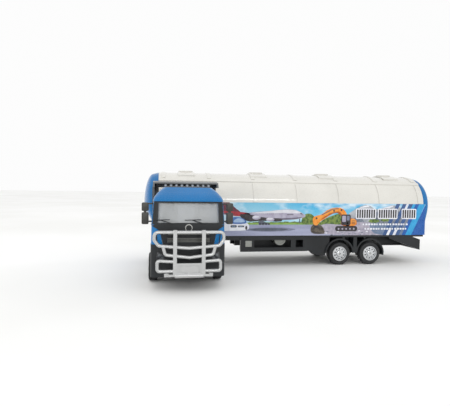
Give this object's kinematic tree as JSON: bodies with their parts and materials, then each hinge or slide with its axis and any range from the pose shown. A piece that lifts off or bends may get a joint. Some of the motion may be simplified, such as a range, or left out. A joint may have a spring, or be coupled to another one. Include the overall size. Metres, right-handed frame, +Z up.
{
  "type": "toy tanker truck",
  "caption": "Toy articulated tanker: a cab-over tractor with a front guard, turning on the kingpin of a round-topped tank trailer.",
  "frame": {"origin": "centre of the footprint of the whole truck with the tractor turned ninety degrees to the trailer, on the ground", "axes": "+X towards the tail of the trailer, -Y towards the nose of the turned tractor, +Z up"},
  "size_m": [0.249, 0.1238, 0.0767],
  "materials": {
    "tank_white": "glossy warm white moulding",
    "cap_blue": "glossy blue moulding",
    "cab_blue": "glossy blue enamel on die-cast metal",
    "print_film": "glossy printed film",
    "black_plastic": "satin black moulding",
    "mirror_black": "satin black moulding with dark faces",
    "hood_grey": "satin charcoal moulding",
    "skirt_grey": "silver-grey moulding",
    "fitting_grey": "mid grey moulding",
    "interior_grey": "light grey moulding",
    "silver_plastic": "silver-sprayed plastic",
    "plated_hub": "bright silver plated plastic",
    "steel": "plain bright steel",
    "tyre_black": "soft black moulded tyre",
    "window_clear": "clear moulded glazing",
    "lamp_red": "glossy red",
    "lamp_smoke": "smoked glossy plastic"
  },
  "bodies": {
    "trailer": {"tank_shell": "tank_white", "front_cap": "cap_blue", "rear_cap": "cap_blue", "side_print_left": "print_film", "side_print_right": "print_film", "tank_hatch_1": "tank_white", "tank_hatch_2": "tank_white", "tank_hatch_3": "tank_white", "tank_hatch_4": "tank_white", "trailer_frame": "black_plastic", "side_locker_left": "black_plastic", "side_locker_right": "black_plastic", "locker_fittings": "fitting_grey", "mudguard_left": "black_plastic", "mudguard_right": "black_plastic", "rear_bumper": "black_plastic", "tail_lamps": "lamp_red", "kingpin": "steel", "frame_screws": "steel"},
    "tractor": {"tractor_chassis": "black_plastic", "fifth_wheel": "black_plastic", "cab_shell": "cab_blue", "cab_lower": "black_plastic", "cab_glass": "window_clear", "cab_interior": "interior_grey", "seats": "interior_grey", "steering_wheel": "black_plastic", "wipers": "black_plastic", "front_badge": "silver_plastic", "headlamps": "lamp_smoke", "bull_bar": "silver_plastic", "mirror_left": "mirror_black", "mirror_right": "mirror_black", "roof_deflector": "hood_grey", "roof_light_bar": "silver_plastic", "side_skirt_left": "skirt_grey", "side_skirt_right": "skirt_grey", "tractor_mudguards": "black_plastic", "cab_screws": "steel"},
    "front_wheels": {"front_shaft": "steel", "front_hub_left": "plated_hub", "front_hub_right": "plated_hub", "front_tyre_left": "tyre_black", "front_tyre_right": "tyre_black"},
    "rear_wheels": {"rear_shaft": "steel", "rear_hub_left": "plated_hub", "rear_hub_right": "plated_hub", "rear_tyres_left": "tyre_black", "rear_tyres_right": "tyre_black"},
    "trailer_wheels_1": {"trailer_shaft_1": "steel", "trailer_hub_1_left": "plated_hub", "trailer_hub_1_right": "plated_hub", "trailer_tyre_1_left": "tyre_black", "trailer_tyre_1_right": "tyre_black"},
    "trailer_wheels_2": {"trailer_shaft_2": "steel", "trailer_hub_2_left": "plated_hub", "trailer_hub_2_right": "plated_hub", "trailer_tyre_2_left": "tyre_black", "trailer_tyre_2_right": "tyre_black"}
  },
  "joints": [
    {"name": "kingpin_turn", "type": "hinge", "parent": "trailer", "child": "tractor", "pos_m": [-0.094, 0.03655, 0.02], "axis": [0, 0, 1], "range_deg": [-200, 20]},
    {"name": "front_axle_spin", "type": "hinge", "parent": "tractor", "child": "front_wheels", "pos_m": [-0.094, -0.02445, 0.0094], "axis": [1, 0, 0], "continuous": true},
    {"name": "rear_axle_spin", "type": "hinge", "parent": "tractor", "child": "rear_wheels", "pos_m": [-0.094, 0.04555, 0.0094], "axis": [1, 0, 0], "continuous": true},
    {"name": "trailer_axle_1_spin", "type": "hinge", "parent": "trailer", "child": "trailer_wheels_1", "pos_m": [0.037, 0.03655, 0.0094], "axis": [0, 1, 0], "continuous": true},
    {"name": "trailer_axle_2_spin", "type": "hinge", "parent": "trailer", "child": "trailer_wheels_2", "pos_m": [0.0644, 0.03655, 0.0094], "axis": [0, 1, 0], "continuous": true}
  ]
}
